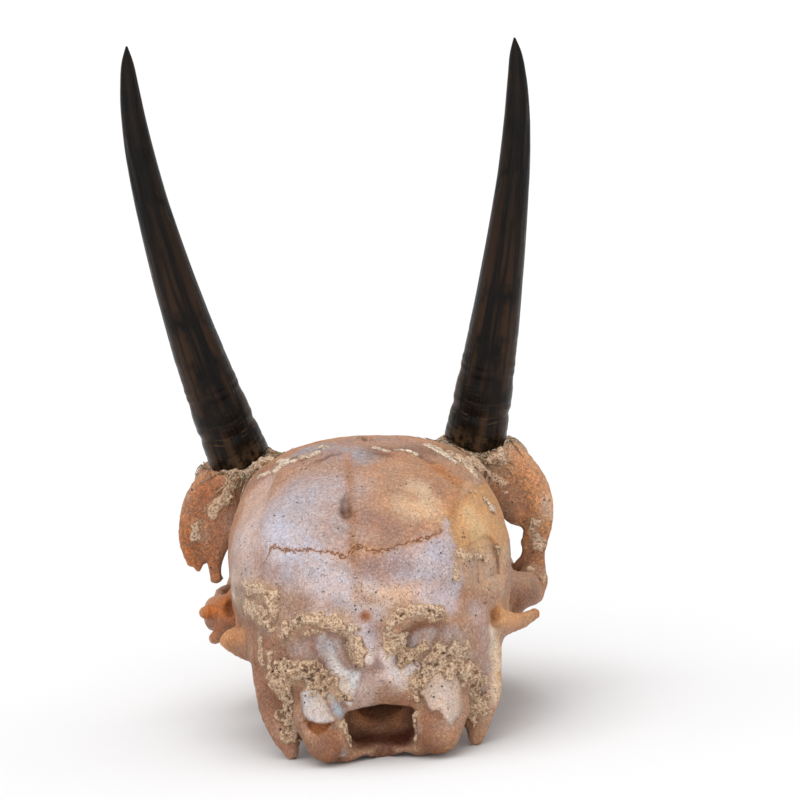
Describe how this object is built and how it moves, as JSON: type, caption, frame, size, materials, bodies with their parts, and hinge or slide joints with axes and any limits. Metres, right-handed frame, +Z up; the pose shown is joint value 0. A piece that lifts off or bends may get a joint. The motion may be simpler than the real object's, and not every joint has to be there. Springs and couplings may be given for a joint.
{
  "type": "steenbok skull",
  "caption": "Weathered cranium of a male steenbok without its lower jaw, with its cheek teeth and black horn sheaths over bony cores.",
  "frame": {"origin": "Under the middle of the skull's bounding box, on the flat surface that the skull rests on", "axes": "+X to the animal's right, +Y to its nose, +Z up"},
  "size_m": [0.0728, 0.1358, 0.1256],
  "materials": {
    "bone": "weathered reddish brown bone with lilac-white bleached areas, ochre stains and tan crusts, matt",
    "horn": "black keratin with fine rings and a brown worn streak, satin",
    "tooth": "ivory enamel stained brown, worn flat, half gloss"
  },
  "bodies": {
    "root": {"skull": "bone", "horn_sheath_left": "horn", "horn_sheath_right": "horn", "molar_3_left": "tooth", "molar_2_left": "tooth", "molar_1_left": "tooth", "premolar_4_left": "tooth", "premolar_3_left": "tooth", "premolar_2_left": "tooth", "molar_3_right": "tooth", "molar_2_right": "tooth", "molar_1_right": "tooth", "premolar_4_right": "tooth", "premolar_3_right": "tooth", "premolar_2_right": "tooth"}
  },
  "joints": []
}
